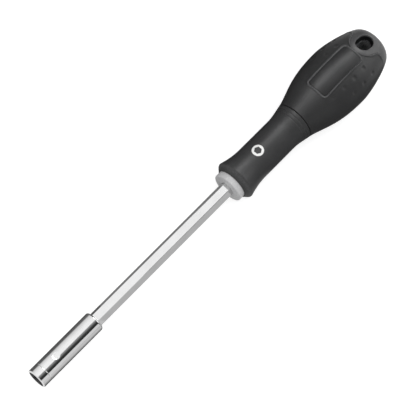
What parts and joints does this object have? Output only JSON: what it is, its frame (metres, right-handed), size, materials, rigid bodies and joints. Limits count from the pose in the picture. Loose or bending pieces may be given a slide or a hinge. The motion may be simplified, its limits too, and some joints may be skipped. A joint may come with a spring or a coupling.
{
  "type": "bit holder screwdriver",
  "caption": "Bit holder screwdriver: soft-grip handle with a hang hole, steel hexagon bar, and a magnetic sleeve socket for hexagon insert bits.",
  "frame": {"origin": "the point on the tool's axis where a bit seats, at the centre of the magnet's front face", "axes": "+X along the tool's axis from the bit seat to the butt, +Z out of one label flat, +Y by the right-hand rule"},
  "size_m": [0.2298, 0.0324, 0.0304],
  "materials": {
    "socket_chrome": "polished chrome plate on steel",
    "magnet_nickel": "dull nickel plate",
    "ring_steel": "oiled spring steel wire",
    "bar_chrome": "drawn bar, bright chrome plate",
    "collar_grey": "light grey moulded plastic",
    "neck_black": "black moulded plastic, fine satin",
    "grip_black": "black soft elastomer, matt",
    "core_black": "black hard plastic, satin"
  },
  "bodies": {
    "root": {"bit_socket": "socket_chrome", "socket_magnet": "magnet_nickel", "retaining_ring": "ring_steel", "hex_bar": "bar_chrome", "front_collar": "collar_grey", "neck_sleeve": "neck_black", "palm_grip": "grip_black", "handle_core": "core_black"}
  },
  "joints": []
}
